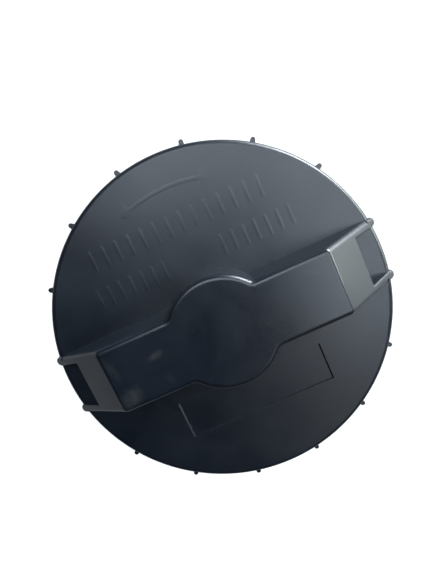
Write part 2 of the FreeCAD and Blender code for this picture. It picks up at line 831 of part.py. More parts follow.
def ratchet_pawl_ring():
    """Ring keyed to the hub, with springy pawls that click over the shell's teeth."""
    body = new_body("ratchet_pawl_ring")
    revolve(body, "pawl_ring", [
        ("hub_radius + pawl_ring_play", "flange_top"),
        ("pawl_ring_radius", "flange_top"),
        ("pawl_ring_radius", "flange_top + pawl_ring_height"),
        ("hub_radius + pawl_ring_play", "flange_top + pawl_ring_height"),
    ])
    pawl_sketch = new_sketch(body, "pawl_outline", "XY_Plane", lift="flange_top")
    draw_outline(pawl_sketch, [polar(*corner) for corner in PAWL_CORNERS])
    pawl = pad(body, "pawl", pawl_sketch, "pawl_ring_height")
    polar_pattern(body, "pawls", [pawl], "pawl_count")
    way_sketch = new_sketch(body, "keyway_outline", "XY_Plane", lift="flange_top")
    draw_outline(way_sketch, rectangle(
        "hub_radius - key_reach", "hub_radius + key_reach + pawl_ring_play",
        "-key_width / 2 - pawl_ring_play", "key_width / 2 + pawl_ring_play"))
    way = pocket(body, "keyway", way_sketch, "pawl_ring_height")
    polar_pattern(body, "keyways", [way], "pawl_count")
    return body


def bowed_washer():
    """Spring washer, bent about the X axis, that takes up the shell's end play."""
    bend = "((hub_radius - washer_play) ^ 2 + bowed_washer_rise ^ 2) / (2 * bowed_washer_rise)"
    centre = f"hub_top + bowed_washer_rise - ({bend})"
    rounds = []
    for name, grow in (("bow_outside", "bowed_washer_thickness"), ("bow_inside", "0")):
        drum = doc.addObject("Part::Cylinder", name)
        drum.Placement = Placement(Vector(), Rotation(Vector(0, 1, 0), 90))
        drum.setExpression("Radius", bind(f"{bend} + {grow}"))
        drum.setExpression("Height", bind("hub_radius * 4"))
        drum.setExpression("Placement.Base.x", bind("-hub_radius * 2"))
        drum.setExpression("Placement.Base.z", bind(centre))
        rounds.append(drum)
    sheet_metal = doc.addObject("Part::Cut", "bowed_strip")
    sheet_metal.Base, sheet_metal.Tool = rounds
    blank = new_body("washer_blank")
    revolve(blank, "blank", [
        ("hub_radius - washer_play - washer_width", "hub_top"),
        ("hub_radius - washer_play", "hub_top"),
        ("hub_radius - washer_play", "hub_top + bowed_washer_thickness + bowed_washer_rise"),
        ("hub_radius - washer_play - washer_width",
         "hub_top + bowed_washer_thickness + bowed_washer_rise"),
    ])
    washer = doc.addObject("Part::Common", "bowed_washer")
    washer.Base = sheet_metal
    washer.Tool = blank
    return washer


def slip_washer():
    """Flat low-friction washer that the shell's disc turns on."""
    body = new_body("slip_washer")
    foot = "hub_top + bowed_washer_thickness + bowed_washer_rise"
    revolve(body, "slip", [
        ("hub_radius - washer_play - washer_width", foot),
        ("hub_radius - washer_play", foot),
        ("hub_radius - washer_play", f"{foot} + slip_washer_thickness"),
        ("hub_radius - washer_play - washer_width", f"{foot} + slip_washer_thickness"),
    ])
    return body


def valve_housing():
    """Canister in the closure's bore, with the pressure valve's seat on its floor."""
    body = new_body("valve_housing")
    groove_low = "groove_middle - seal_groove_width / 2"
    groove_high = "groove_middle + seal_groove_width / 2"
    lip_inner = "seat_lip_radius - seat_lip_width / 2"
    lip_outer = "seat_lip_radius + seat_lip_width / 2"
    revolve(body, "housing", [
        ("housing_bore_radius", "foot_thickness"),
        ("housing_foot_radius", "foot_thickness"),
        ("housing_foot_radius", "barrel_foot - barrel_bevel"),
        ("housing_radius", "barrel_foot"),
        ("housing_radius", groove_low),
        ("housing_radius - seal_groove_depth", groove_low),
        ("housing_radius - seal_groove_depth", groove_high),
        ("housing_radius", groove_high),
        ("housing_radius", "ledge"),
        ("housing_flange_radius", "ledge"),
        ("housing_flange_radius", "housing_top"),
        ("housing_bore_radius", "housing_top"),
        ("housing_bore_radius", "snap_middle + snap_wire / 2"),
        ("housing_bore_radius + snap_bite", "snap_middle + snap_wire / 2"),
        ("housing_bore_radius + snap_bite", "snap_middle - snap_wire / 2"),
        ("housing_bore_radius", "snap_middle - snap_wire / 2"),
        ("housing_bore_radius", "floor_top"),
        (lip_outer, "floor_top"),
        (lip_outer, "seat_top"),
        (lip_inner, "seat_top"),
        (lip_inner, "floor_top"),
        ("seat_hole_radius", "floor_top"),
        ("seat_hole_radius", "floor_under"),
        ("housing_bore_radius", "floor_under"),
    ])
    return body


def pressure_valve_seal():
    """Flat rubber washer between the valve plate and the seat's lip."""
    body = new_body("pressure_valve_seal")
    revolve(body, "seal_washer", [
        ("pressure_seal_inner_radius", "seat_top"),
        ("pressure_seal_outer_radius", "seat_top"),
        ("pressure_seal_outer_radius", "plate_under"),
        ("pressure_seal_inner_radius", "plate_under"),
    ])
    return body


def pressure_valve_plate():
    """Valve plate with guide lobes, a spring rim, air windows and the stem's guide."""
    body = new_body("pressure_valve_plate")
    bore = "stem_radius + stem_play"
    revolve(body, "plate", [
        (bore, "plate_under"),
        ("plate_radius", "plate_under"),
        ("plate_radius", "plate_top + plate_rim_height"),
        ("plate_radius - plate_rim_width", "plate_top + plate_rim_height"),
        ("plate_radius - plate_rim_width", "plate_top"),
        ("guide_radius", "plate_top"),
        ("guide_radius", "plate_top + guide_height"),
        (bore, "plate_top + guide_height"),
    ])
    lobe_sketch = new_sketch(body, "lobe_outline", "XY_Plane", lift="plate_under")
    draw_outline(lobe_sketch, rectangle(
        "plate_radius - plate_rim_width / 2", "housing_bore_radius - lobe_gap",
        "-plate_lobe_width / 2", "plate_lobe_width / 2"))
    lobe = pad(body, "lobe", lobe_sketch, "plate_thickness + plate_rim_height")
    polar_pattern(body, "lobes", [lobe], "plate_lobe_count")
    window_sketch = new_sketch(body, "window_outline", "XY_Plane", lift="plate_under")
    draw_circle(window_sketch, "window_ring_radius", "0", "window_radius")
    window = pocket(body, "window", window_sketch, "plate_thickness")
    polar_pattern(body, "windows", [window], "window_count")
    return body


def vacuum_valve():
    """Poppet with its head under the plate and its stem up through the guide."""
    body = new_body("vacuum_valve")
    revolve(body, "poppet", [
        ("0", "head_under"),
        ("head_radius - head_thickness / 2", "head_under"),
        ("head_radius", "head_under + head_thickness / 2"),
        ("head_radius", "head_top"),
        ("stem_radius", "head_top"),
        ("stem_radius", "clip_top + stem_end"),
        ("0", "clip_top + stem_end"),
    ])
    return body


def vacuum_valve_seal():
    """Small rubber washer on the poppet's head."""
    body = new_body("vacuum_valve_seal")
    revolve(body, "small_seal_washer", [
        ("vacuum_seal_inner_radius", "head_top"),
        ("vacuum_seal_outer_radius", "head_top"),
        ("vacuum_seal_outer_radius", "plate_under"),
        ("vacuum_seal_inner_radius", "plate_under"),
    ])
    return body


def vacuum_spring_clip():
    """Push-on washer that holds the light spring on the poppet's stem."""
    body = new_body("vacuum_spring_clip")
    revolve(body, "clip", [
        ("stem_radius + clip_play", "clip_under"),
        ("clip_radius", "clip_under"),
        ("clip_radius", "clip_top"),
        ("stem_radius + clip_play", "clip_top"),
    ])
    return body


def spring_cap():
    """Vented disc that the pressure spring pushes up against."""
    body = new_body("spring_cap")
    revolve(body, "cap_disc", [
        ("0", "cap_under - cap_boss_height"),
        ("cap_boss_radius", "cap_under - cap_boss_height"),
        ("cap_boss_radius", "cap_under"),
        ("chamber_fit_radius", "cap_under"),
        ("chamber_fit_radius", "cap_top"),
        ("0", "cap_top"),
    ])
    sketch = new_sketch(body, "cap_vent_outline", "XY_Plane", lift="cap_under - cap_boss_height")
    draw_circle(sketch, "cap_vent_ring_radius", "0", "cap_vent_radius")
    vent = pocket(body, "cap_vent", sketch, "cap_thickness + cap_boss_height")
    polar_pattern(body, "cap_vents", [vent], "cap_vent_count")
    return body


def cap_snap_ring():
    """Split wire ring sprung into the housing's groove over the spring cap."""
    body = new_body("cap_snap_ring")
    sketch = new_sketch(body, "snap_section")
    draw_circle(sketch, "housing_bore_radius + snap_bite - snap_wire / 2 - seat_play",
                "snap_middle", "snap_wire / 2")
    revolve_sketch(body, "snap_ring", sketch, "360 - snap_gap_angle")
    return body


def foot_cover():
    """Slotted cover that closes the housing and makes the foot of the cap."""
    body = new_body("foot_cover")
    turned = revolve(body, "cover", [
        ("0", "0"),
        ("housing_foot_radius", "0"),
        ("housing_foot_radius", "foot_thickness"),
        ("chamber_fit_radius", "foot_thickness"),
        ("chamber_fit_radius", "screen_foot"),
        ("chamber_fit_radius - cover_wall", "screen_foot"),
        ("chamber_fit_radius - cover_wall", "foot_thickness"),
        ("0", "foot_thickness"),
    ])
    soften(body, "cover_edge", "Chamfer", turned, "cover_bevel",
           at_ring("housing_foot_radius", "0"))
    sketch = new_sketch(body, "slot_outline", "XY_Plane")
    draw_outline(sketch, rectangle(
        "slot_inner_radius", "slot_outer_radius", "-slot_width / 2", "slot_width / 2"))
    slot = pocket(body, "slot", sketch, "foot_thickness")
    polar_pattern(body, "slots", [slot], "slot_count")
    return body


def filter_screen():
    """Perforated disc on the cover's wall."""
    body = new_body("filter_screen")
    revolve(body, "screen_disc", [
        ("0", "screen_foot"),
        ("chamber_fit_radius", "screen_foot"),
        ("chamber_fit_radius", "screen_top"),
        ("0", "screen_top"),
    ])
    for ring in range(1, int(SIZES["screen_ring_count"]) + 1):
        sketch = new_sketch(body, f"screen_hole_{ring}", "XY_Plane", lift="screen_foot")
        draw_circle(sketch, f"screen_hole_step * {ring}", "0", "screen_hole_radius")
        hole = pocket(body, f"screen_hole_cut_{ring}", sketch, "screen_thickness")
        polar_pattern(body, f"screen_holes_{ring}", [hole], f"6 * {ring}")
    return body


def splash_baffle():
    """Cup with offset holes that keeps splashed fuel off the valve."""
    body = new_body("splash_baffle")
    revolve(body, "baffle", [
        ("chamber_fit_radius", "screen_top"),
        ("chamber_fit_radius", "floor_under"),
        ("chamber_fit_radius - baffle_wall", "floor_under"),
        ("chamber_fit_radius - baffle_wall", "baffle_web_foot + baffle_web_thickness"),
        ("0", "baffle_web_foot + baffle_web_thickness"),
        ("0", "baffle_web_foot"),
        ("chamber_fit_radius - baffle_wall", "baffle_web_foot"),
        ("chamber_fit_radius - baffle_wall", "screen_top"),
    ])
    sketch = new_sketch(body, "baffle_hole_outline", "XY_Plane", lift="baffle_web_foot")
    draw_circle(sketch, "baffle_hole_ring_radius", "0", "baffle_hole_radius")
    hole = pocket(body, "baffle_hole", sketch, "baffle_web_thickness")
    polar_pattern(body, "baffle_holes", [hole], "baffle_hole_count")
    return body


def build_pieces():
    """Build every piece and give the list of them."""
    return [
        outer_shell(),
        keeper_ring(),
        closure_body(),
        neck_gasket(),
        ratchet_pawl_ring(),
        bowed_washer(),
        slip_washer(),
        valve_housing(),
        round_ring("housing_seal",
                   "housing_radius - seal_groove_depth / 2 + housing_play / 2", "groove_middle",
                   "seal_groove_depth / 2 + housing_play / 2 - seal_play"),
        spring_cap(),
        cap_snap_ring(),
        coil("pressure_spring", "pressure_spring_radius", "pressure_spring_wire",
             "plate_top + seat_play", "cap_under - plate_top - 2 * seat_play",
             "pressure_spring_turns"),
        pressure_valve_plate(),
        pressure_valve_seal(),
        vacuum_valve(),
        vacuum_valve_seal(),
        coil("vacuum_spring", "vacuum_spring_radius", "vacuum_spring_wire",
             "plate_top + seat_play", "vacuum_spring_length - 2 * seat_play",
             "vacuum_spring_turns"),
        vacuum_spring_clip(),
        splash_baffle(),
        filter_screen(),
        foot_cover(),
    ]


def check_document(pieces):
    """Stop if any object failed or any piece isn't one valid solid."""
    for item in doc.Objects:
        if "Invalid" in item.State or "Error" in item.State:
            raise RuntimeError(f"{item.Label} failed: {item.State}")
    for piece in pieces:
        shape = piece.Shape
        if shape.isNull() or not shape.isValid() or len(shape.Solids) != 1:
            raise RuntimeError(f"{piece.Label} is not one valid solid")


def export_pieces(pieces):
    os.makedirs("parts", exist_ok=True)
    for piece in pieces:
        piece.Shape.exportStep(f"parts/{piece.Label}.step")
        box = piece.Shape.BoundBox
        print(f"{piece.Label}: {piece.Shape.Volume:.1f} mm3, "
              f"z {box.ZMin:.2f} to {box.ZMax:.2f}")


fill_sheet()
all_pieces = build_pieces()
doc.recompute()
check_document(all_pieces)
export_pieces(all_pieces)
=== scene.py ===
import json
import math

import bmesh
import bpy
from mathutils import Matrix, Vector


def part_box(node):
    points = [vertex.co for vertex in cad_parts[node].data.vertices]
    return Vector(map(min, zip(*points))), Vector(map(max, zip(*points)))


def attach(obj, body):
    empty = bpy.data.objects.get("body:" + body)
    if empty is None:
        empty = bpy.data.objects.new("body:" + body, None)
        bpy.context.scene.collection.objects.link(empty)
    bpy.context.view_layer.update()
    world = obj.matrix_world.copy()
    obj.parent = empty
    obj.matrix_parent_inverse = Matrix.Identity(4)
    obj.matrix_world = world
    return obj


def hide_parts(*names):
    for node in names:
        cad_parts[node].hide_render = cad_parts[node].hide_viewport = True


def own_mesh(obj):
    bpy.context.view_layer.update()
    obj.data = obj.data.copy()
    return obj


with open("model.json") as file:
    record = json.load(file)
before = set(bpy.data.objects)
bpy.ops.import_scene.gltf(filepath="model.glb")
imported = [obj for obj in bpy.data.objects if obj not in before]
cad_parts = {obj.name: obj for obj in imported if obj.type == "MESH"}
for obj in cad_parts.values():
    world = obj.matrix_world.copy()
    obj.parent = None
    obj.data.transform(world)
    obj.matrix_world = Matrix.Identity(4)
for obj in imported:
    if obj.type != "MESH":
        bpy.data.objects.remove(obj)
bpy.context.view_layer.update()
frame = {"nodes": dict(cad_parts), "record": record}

MM = 0.001
WHITE = (1, 1, 1, 1)

# The camera of the photograph: its place in metres and its directions, in the part's own frame.
CAMERA_PLACE = Vector((0.006296, 0.017771, 0.127132))
CAMERA_RIGHT = Vector((0.91036, -0.41381, 0.00191))
CAMERA_DOWN = Vector((-0.40991, -0.90113, 0.14122))
CAMERA_FORWARD = Vector((-0.05672, -0.12934, -0.98998))
FOCAL_PIXELS = 337.08
IMAGE_HEIGHT = 577
SENSOR_MM = 36.0
CLIP_NEAR, CLIP_FAR = 0.005, 20

# Heights above the foot, in millimetres: the disc's top, as in the part's source, and the grip's.
DISC_TOP = 48.0
GRIP_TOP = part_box("outer_shell")[1][2] / MM


# Helpers that add nodes to a material.


def new_material(name):
    """Give a material with its node tree and its one shader."""
    material = bpy.data.materials.new(name)
    material.use_nodes = True
    tree = material.node_tree
    shader = tree.nodes["Principled BSDF"]
    return material, tree, shader


def empty_tree(owner):
    """Turn on the nodes of a material or world and clear them."""
    owner.use_nodes = True
    owner.node_tree.nodes.clear()
    return owner.node_tree


def put(tree, kind, inputs=None, **settings):
    """Add a node, set its options and fill or link its inputs by name or number."""
    node = tree.nodes.new("ShaderNode" + kind)
    for name, setting in settings.items():
        setattr(node, name, setting)
    for name, source in (inputs or {}).items():
        if isinstance(source, bpy.types.NodeSocket):
            tree.links.new(source, node.inputs[name])
        else:
            node.inputs[name].default_value = source
    return node


def object_place(tree):
    """Give the place on the object, in metres."""
    return put(tree, "TexCoord").outputs["Object"]


def scaled(tree, vector, factors):
    """Stretch a place along each axis."""
    return put(tree, "Mapping", {"Vector": vector, "Scale": factors}).outputs["Vector"]


# Ranges of a noise's values, from the hollows to the lumps, over which a surface changes.
MIDDLE = (0.3, 0.7)
WIDE = (0.25, 0.75)
UPPER = (0.35, 0.7)
NARROW = (0.35, 0.65)
LUMPS = (0.45, 0.75)
HOLLOWS = (0.3, 0.6)


def noise(tree, vector, grain, detail=3, rough=0.5, warp=0.0):
    """Give noise whose lumps measure about the given millimetres."""
    return put(tree, "TexNoise", {
        "Vector": vector, "Scale": 1 / (grain * MM), "Detail": detail,
        "Roughness": rough, "Distortion": warp,
    }).outputs["Fac"]


def spread(tree, source, low, high, to_low=0.0, to_high=1.0):
    """Stretch a range of a value smoothly onto another range, held at its ends."""
    return put(tree, "MapRange", {
        "Value": source, "From Min": low, "From Max": high, "To Min": to_low, "To Max": to_high,
    }, interpolation_type="SMOOTHSTEP").outputs["Result"]


def swing(tree, source, reach):
    """Turn a noise into a value that swings by the reach to both sides of 0."""
    return spread(tree, source, *MIDDLE, -reach, reach)


def reckon(tree, operation, first, second, third=None, clamp=False):
    """Work out one value from two or three, each a number or an output."""
    inputs = {0: first, 1: second}
    if third is not None:
        inputs[2] = third
    return put(tree, "Math", inputs, operation=operation, use_clamp=clamp).outputs[0]


def opaque(colour):
    """Add full opacity to a colour of three numbers, and leave an output as it is."""
    return colour if isinstance(colour, bpy.types.NodeSocket) else (*colour, 1.0)


def mix_colour(tree, share, first, second):
    """Pass from the first colour to the second as the share goes from 0 to 1."""
    factor, colour_a, colour_b, result = 0, 6, 7, 2
    return put(tree, "Mix", {factor: share, colour_a: opaque(first), colour_b: opaque(second)},
               data_type="RGBA").outputs[result]


def bump(tree, height, depth, strength, normal=None):
    """Give the normal of a surface that noise raises, on top of another bump if one is given."""
    inputs = {"Height": height, "Distance": depth * MM, "Strength": strength}
    if normal is not None:
        inputs["Normal"] = normal
    return put(tree, "Bump", inputs).outputs["Normal"]


def lay_on(tree, shader, colour, roughness, normal):
    """Link a colour, a roughness and a normal to the shader."""
    tree.links.new(colour, shader.inputs["Base Color"])
    tree.links.new(roughness, shader.inputs["Roughness"])
    tree.links.new(normal, shader.inputs["Normal"])


# How alike the plain and the rounded normal are away from an edge, and how alike at the edge.
EDGE_LIKENESS = (0.995, 0.90)
EDGE_SAMPLES = 8


def edge_mask(tree, reach):
    """Give 1 at convex and concave edges, falling to 0 away from them."""
    rounded = put(tree, "Bevel", {"Radius": reach * MM},
                  samples=EDGE_SAMPLES).outputs["Normal"]
    plain = put(tree, "NewGeometry").outputs["Normal"]
    same = put(tree, "VectorMath", {0: rounded, 1: plain}, operation="DOT_PRODUCT").outputs["Value"]
    return spread(tree, same, *EDGE_LIKENESS)


def soft_spot(tree, place, centre, half_sizes, turn, edge):
    """Give 1 inside an ellipse on the XY plane, falling to 0 over the edge's share of its size."""
    centred = put(tree, "Mapping", {
        "Vector": place,
        "Location": (centre[0] * MM, centre[1] * MM, 0.0),
        "Rotation": (0.0, 0.0, math.radians(turn)),
        "Scale": (half_sizes[0] * MM, half_sizes[1] * MM, 1.0),
    }, vector_type="TEXTURE").outputs["Vector"]
    flat = put(tree, "VectorMath", {0: centred, 1: (1.0, 1.0, 0.0)}, operation="MULTIPLY")
    length = put(tree, "VectorMath", {0: flat.outputs["Vector"]}, operation="LENGTH")
    return spread(tree, length.outputs["Value"], 1.0, 1.0 - edge)


# Materials. Colours are linear. Grains, reaches and depths are in millimetres, and a bump is its
# depth and its strength.


SHELL = {
    "dark": (0.0020, 0.0045, 0.0096),
    "light": (0.0043, 0.0075, 0.0133),
    "patch": (0.0073, 0.0100, 0.0140),
    # Colour at the edges, lighter partly from wear and partly as a painted highlight.
    "lighter_edges": (0.019, 0.021, 0.027),
    "dust": (0.080, 0.080, 0.077),
    "cloud_grain": 14,
    "patch_grain": 2.2,
    "etch_grain": 0.09,
    "edge_reach": 0.5,
    "patch_share": 0.35,
    "edge_highlight_and_wear": (0.1, 0.8),
    "roughness": (0.33, 0.40),
    "etch_roughness": 0.025,
    "handled_smoother": 0.05,
    "edge_smoother": 0.03,
    "dust_rougher": 0.15,
    "etch_bump": (0.006, 0.25),
    "patch_bump": (0.05, 0.10),
    "ior": 1.6,
}

# How far below the grip's top the smoother, handled plastic begins and is complete.
HANDLED_DEPTHS = (0.9, 0.2)


def shell_plastic():
    """Near-black blue-grey moulded plastic, finely etched, with handling marks; its edges are
    lighter from wear and a painted highlight.
    """
    material, tree, shader = new_material("shell_plastic")
    place = object_place(tree)
    clouds = noise(tree, place, SHELL["cloud_grain"], rough=0.55, warp=0.4)
    patches = noise(tree, place, SHELL["patch_grain"], detail=4, rough=0.6)
    etching = noise(tree, place, SHELL["etch_grain"], detail=1)

    colour = mix_colour(tree, spread(tree, clouds, *MIDDLE), SHELL["dark"], SHELL["light"])
    patched = spread(tree, patches, *LUMPS, 0.0, SHELL["patch_share"])
    colour = mix_colour(tree, patched, colour, SHELL["patch"])
    # Lighten the edges: partly wear, partly a painted highlight along them.
    lighter_edges = reckon(tree, "MULTIPLY", edge_mask(tree, SHELL["edge_reach"]),
                  spread(tree, patches, *NARROW, *SHELL["edge_highlight_and_wear"]))
    colour = mix_colour(tree, lighter_edges, colour, SHELL["lighter_edges"])
    dust = dust_marks(tree, place)
    colour = mix_colour(tree, dust, colour, SHELL["dust"])

    roughness = spread(tree, clouds, *WIDE, *SHELL["roughness"])
    height = put(tree, "SeparateXYZ", {"Vector": place}).outputs["Z"]
    starts, complete = ((GRIP_TOP - depth) * MM for depth in HANDLED_DEPTHS)
    handled = spread(tree, height, starts, complete, 0.0, SHELL["handled_smoother"])
    roughness = reckon(tree, "SUBTRACT", roughness, handled)
    grain = swing(tree, etching, SHELL["etch_roughness"])
    roughness = reckon(tree, "ADD", roughness, grain)
    smoother = reckon(tree, "MULTIPLY", lighter_edges, SHELL["edge_smoother"])
    roughness = reckon(tree, "SUBTRACT", roughness, smoother)
    rougher = reckon(tree, "MULTIPLY", dust, SHELL["dust_rougher"])
    roughness = reckon(tree, "ADD", roughness, rougher, clamp=True)

    normal = bump(tree, etching, *SHELL["etch_bump"])
    normal = bump(tree, patches, *SHELL["patch_bump"], normal)
    lay_on(tree, shader, colour, roughness, normal)
    shader.inputs["IOR"].default_value = SHELL["ior"]
    return material


# Dust and scuffs on the grip's top: centre, half sizes in millimetres, turn in degrees, strength.
DUST_SPOTS = [
    ((-14.8, 1.6), (2.6, 1.2), 12, 0.24),
    ((-23.0, -4.6), (3.8, 2.8), 24, 0.28),
    ((-24.2, 2.2), (1.5, 4.4), 14, 0.12),
    ((-14.0, -4.0), (1.2, 1.9), 20, 0.06),
    ((21.4, 4.0), (3.6, 0.8), -32, 0.10),
    ((9.8, -1.2), (4.0, 2.2), 0, 0.05),
]

# The share of a spot over which it fades out, how far below the grip's top dust begins and is
# complete, the grain of its flecks, and its share between the flecks and on them.
DUST_EDGE = 0.9
DUST_DEPTHS = (0.6, 0.1)
DUST_GRAIN = 1.1
DUST_FLECKS = (0.35, 1.0)


def dust_marks(tree, place):
    """Give the strength of the pale marks on the grip's top, broken up by fine noise."""
    total = None
    for centre, half_sizes, turn, strength in DUST_SPOTS:
        spot = soft_spot(tree, place, centre, half_sizes, turn, DUST_EDGE)
        spot = reckon(tree, "MULTIPLY", spot, strength)
        total = spot if total is None else reckon(tree, "MAXIMUM", total, spot)
    height = put(tree, "SeparateXYZ", {"Vector": place}).outputs["Z"]
    starts, complete = ((GRIP_TOP - depth) * MM for depth in DUST_DEPTHS)
    on_top = spread(tree, height, starts, complete)
    flecks = noise(tree, place, DUST_GRAIN, detail=5, rough=0.65)
    flecks = spread(tree, flecks, *HOLLOWS, *DUST_FLECKS)
    return reckon(tree, "MULTIPLY", reckon(tree, "MULTIPLY", total, on_top), flecks)


PLASTIC = {
    "cloud_grain": 9,
    "edge_reach": 0.3,
    "edge_share": 0.4,
    "edge_gain": 1.25,
    "roughness_swing": (-0.04, 0.05),
    "grain_roughness": 0.03,
    "bump": (0.01, 0.35),
    "glow_depth": 0.8,
    "glow_colour": (1.0, 0.9, 0.7),
}


def plain_plastic(name, dark, light, rough, grain=0.2, glow=0.0):
    """Moulded plastic with mottled colour, satin grain and softly worn edges."""
    material, tree, shader = new_material(name)
    place = object_place(tree)
    clouds = noise(tree, place, PLASTIC["cloud_grain"], rough=0.55, warp=0.3)
    fine = noise(tree, place, grain, detail=2)
    colour = mix_colour(tree, spread(tree, clouds, *MIDDLE), dark, light)
    brighter = tuple(min(1.0, channel * PLASTIC["edge_gain"]) for channel in light)
    lighter_edges = reckon(tree, "MULTIPLY", edge_mask(tree, PLASTIC["edge_reach"]), PLASTIC["edge_share"])
    colour = mix_colour(tree, lighter_edges, colour, brighter)
    smooth, dull = PLASTIC["roughness_swing"]
    roughness = spread(tree, clouds, *WIDE, rough + smooth, rough + dull)
    roughness = reckon(tree, "ADD", roughness, swing(tree, fine, PLASTIC["grain_roughness"]),
                       clamp=True)
    lay_on(tree, shader, colour, roughness, bump(tree, fine, *PLASTIC["bump"]))
    if glow:
        shader.inputs["Subsurface Weight"].default_value = glow
        shader.inputs["Subsurface Radius"].default_value = PLASTIC["glow_colour"]
        shader.inputs["Subsurface Scale"].default_value = PLASTIC["glow_depth"] * MM
    return material


RUBBER = {
    "dark": (0.012, 0.012, 0.013),
    "light": (0.026, 0.026, 0.027),
    "cloud_grain": 5,
    "pit_grain": 0.12,
    "roughness": (0.62, 0.75),
    "pit_roughness": 0.04,
    "bump": (0.02, 0.5),
}


def black_rubber():
    """Matt fuel-resistant rubber with a bloomed, finely pitted skin."""
    material, tree, shader = new_material("black_rubber")
    place = object_place(tree)
    clouds = noise(tree, place, RUBBER["cloud_grain"], detail=4, rough=0.6, warp=0.5)
    pits = noise(tree, place, RUBBER["pit_grain"], rough=0.6)
    colour = mix_colour(tree, spread(tree, clouds, *UPPER), RUBBER["dark"], RUBBER["light"])
    roughness = reckon(tree, "ADD", spread(tree, clouds, *MIDDLE, *RUBBER["roughness"]),
                       swing(tree, pits, RUBBER["pit_roughness"]), clamp=True)
    lay_on(tree, shader, colour, roughness, bump(tree, pits, *RUBBER["bump"]))
    return material


METAL = {
    "cloud_grain": 3.5,
    "mark_grain": 0.5,
    "mark_stretch": (1.0, 1.0, 9.0),
    "roughness_swing": (-0.03, 0.08),
    "mark_roughness": 0.05,
    "bump": (0.008, 0.4),
}


def drawn_metal(name, dark, light, rough):
    """Metal with fine draw or rolling marks and faint tarnish."""
    material, tree, shader = new_material(name)
    place = object_place(tree)
    clouds = noise(tree, place, METAL["cloud_grain"], detail=4, rough=0.6, warp=0.4)
    marks = noise(tree, scaled(tree, place, METAL["mark_stretch"]), METAL["mark_grain"],
                  detail=4, rough=0.7)
    colour = mix_colour(tree, spread(tree, clouds, *UPPER), dark, light)
    bright, dull = METAL["roughness_swing"]
    roughness = reckon(tree, "ADD", spread(tree, clouds, *MIDDLE, rough + bright, rough + dull),
                       swing(tree, marks, METAL["mark_roughness"]), clamp=True)
    lay_on(tree, shader, colour, roughness, bump(tree, marks, *METAL["bump"]))
    shader.inputs["Metallic"].default_value = 1.0
    return material


# Plain relief on the disc, in millimetres and degrees: the height above the disc and the inset
# of each outline of its softened sides, then rows of short upright bars and a turning arrow.
RELIEF_SIDES = [(-0.05, 0.0), (0.002, 0.0), (0.015, 0.18), (0.020, 0.38)]
SHARP_DEGREES = 50
SHARPEST_CORNER = 0.5        # a corner's inset grows to twice the inset at most
BAR_ROWS = [
    {"x": (-22.0, 23.6), "y": (22.4, 27.6), "pitch": 3.26},
    {"x": (-24.6, -7.4), "y": (13.6, 18.8), "pitch": 2.85},
    {"x": (7.4, 24.6), "y": (13.6, 18.8), "pitch": 2.85},
]
BAR_WIDTH = 1.0
BAR_BEVEL = 0.25
ARROW = {"radius": 33.4, "half_angle": 15.5, "width": 1.1, "head_angle": 5.0, "head_width": 4.4}
ARROW_STEPS = 16


def disc_relief(material):
    """Raise the bars and the arrow from the disc's top, with softened upper edges."""
    outlines = [turning_arrow()]
    for row in BAR_ROWS:
        outlines += bar_row(row["x"], row["y"], row["pitch"])
    mesh = bmesh.new()
    for outline in outlines:
        rings = [[mesh.verts.new((x * MM, y * MM, (DISC_TOP + height) * MM))
                  for x, y in inset_outline(outline, inset)] for height, inset in RELIEF_SIDES]
        count = len(outline)
        for low, high in zip(rings, rings[1:]):
            for step in range(count):
                after = (step + 1) % count
                mesh.faces.new((low[step], low[after], high[after], high[step]))
        mesh.faces.new(rings[-1])
        mesh.faces.new(list(reversed(rings[0])))
    data = bpy.data.meshes.new("disc_relief")
    mesh.to_mesh(data)
    mesh.free()
    data.materials.append(material)
    data.shade_smooth()
    data.set_sharp_from_angle(angle=math.radians(SHARP_DEGREES))
    piece = bpy.data.objects.new("disc_relief", data)
    bpy.context.scene.collection.objects.link(piece)
    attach(piece, "shell")


def inset_outline(points, inset):
    """Move each corner of an outline, given counterclockwise, inwards by the inset."""
    moved = []
    count = len(points)
    for step in range(count):
        before = Vector(points[step - 1])
        here = Vector(points[step])
        after = Vector(points[(step + 1) % count])
        into = (here - before).normalized()
        out = (after - here).normalized()
        left_in, left_out = Vector((-into.y, into.x)), Vector((-out.y, out.x))
        bisector = (left_in + left_out).normalized()
        reach = inset / max(SHARPEST_CORNER, bisector.dot(left_in))
        moved.append(here + bisector * reach)
    return moved


def bar_row(x_range, y_range, pitch):
    """Upright bars with bevelled corners, evenly spaced, each counterclockwise."""
    (low, high), (foot, top) = x_range, y_range
    outlines = []
    for number in range(int((high - low) / pitch) + 1):
        left = low + number * pitch - BAR_WIDTH / 2
        right = left + BAR_WIDTH
        outlines.append([
            (left + BAR_BEVEL, foot), (right - BAR_BEVEL, foot), (right, foot + BAR_BEVEL),
            (right, top - BAR_BEVEL), (right - BAR_BEVEL, top), (left + BAR_BEVEL, top),
            (left, top - BAR_BEVEL), (left, foot + BAR_BEVEL),
        ])
    return outlines


def turning_arrow():
    """An arc about the cap's axis with a head at each end, counterclockwise."""
    radius, width = ARROW["radius"], ARROW["width"]
    shaft, head = ARROW["half_angle"], ARROW["head_angle"]

    def place(reach, degrees):
        turn = math.radians(90 + degrees)
        return reach * math.cos(turn), reach * math.sin(turn)

    turns = [-shaft + 2 * shaft * step / ARROW_STEPS for step in range(ARROW_STEPS + 1)]
    outer = [place(radius + width / 2, turn) for turn in turns]
    inner = [place(radius - width / 2, turn) for turn in reversed(turns)]
    far, near = radius + ARROW["head_width"] / 2, radius - ARROW["head_width"] / 2
    left_head = [place(far, shaft), place(radius, shaft + head), place(near, shaft)]
    right_head = [place(near, -shaft), place(radius, -shaft - head), place(far, -shaft)]
    return outer + left_head + inner + right_head


# Springs: piece, node, body, joint that shortens it, and whether its upper end stays in place.
SPRINGS = [
    ("pressure_spring_coils", "pressure_spring", "closure", "pressure_lift", True),
    ("vacuum_spring_coils", "vacuum_spring", "pressure_valve", "vacuum_drop", False),
]


